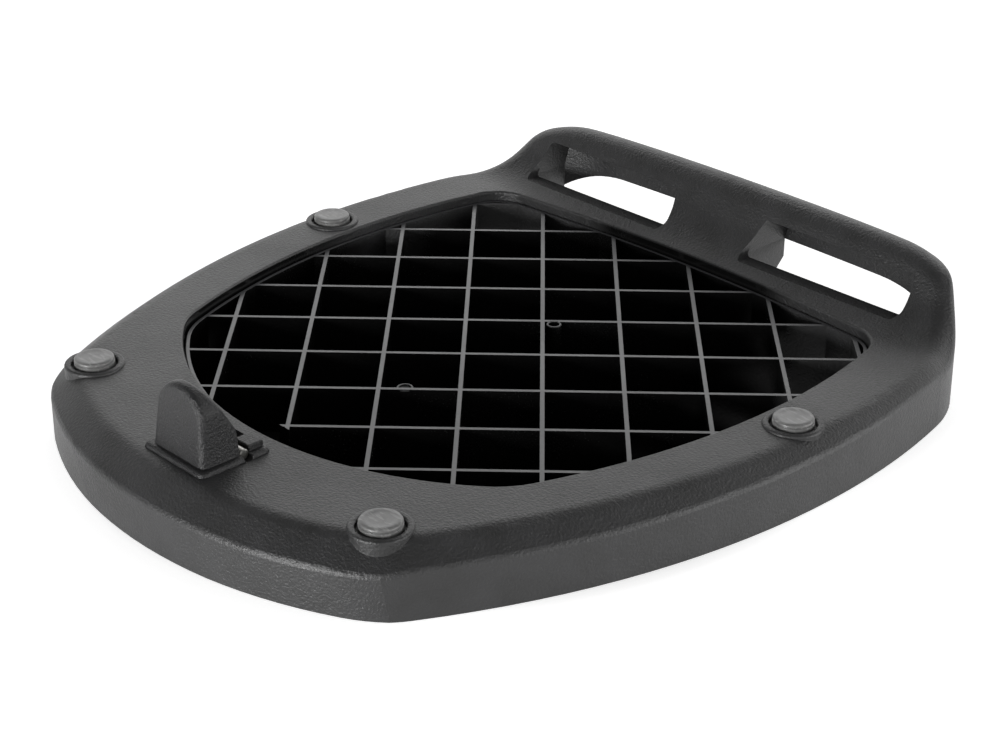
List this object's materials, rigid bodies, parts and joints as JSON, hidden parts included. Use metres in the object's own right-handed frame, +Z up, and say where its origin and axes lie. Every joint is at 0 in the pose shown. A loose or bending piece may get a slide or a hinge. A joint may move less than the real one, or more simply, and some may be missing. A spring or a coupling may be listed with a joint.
{
  "type": "top case mounting plate",
  "caption": "Moulded plate that fixes to a motorbike rack and holds a top case: a lattice field, a raised bar with hook slots and a catch at the other end.",
  "frame": {"origin": "middle of the plate seen from above, at the height of the rim that it stands on", "axes": "+Z up out of the deck, +Y towards the raised bar with the hook slots, +X to the right when looking along +Y"},
  "size_m": [0.2608, 0.2919, 0.049],
  "materials": {
    "plate_plastic": "fine moulded grain",
    "pad_rubber": "smooth",
    "catch_plastic": "satin",
    "pin_steel": "ground",
    "screw_steel": "zinc plated"
  },
  "bodies": {
    "root": {"catch_block": "catch_plastic", "catch_pin": "pin_steel", "catch_screw_left": "screw_steel", "catch_screw_right": "screw_steel", "mounting_plate": "plate_plastic", "rubber_pad_front_left": "pad_rubber", "rubber_pad_front_right": "pad_rubber", "rubber_pad_rear_left": "pad_rubber", "rubber_pad_rear_right": "pad_rubber"}
  },
  "joints": []
}
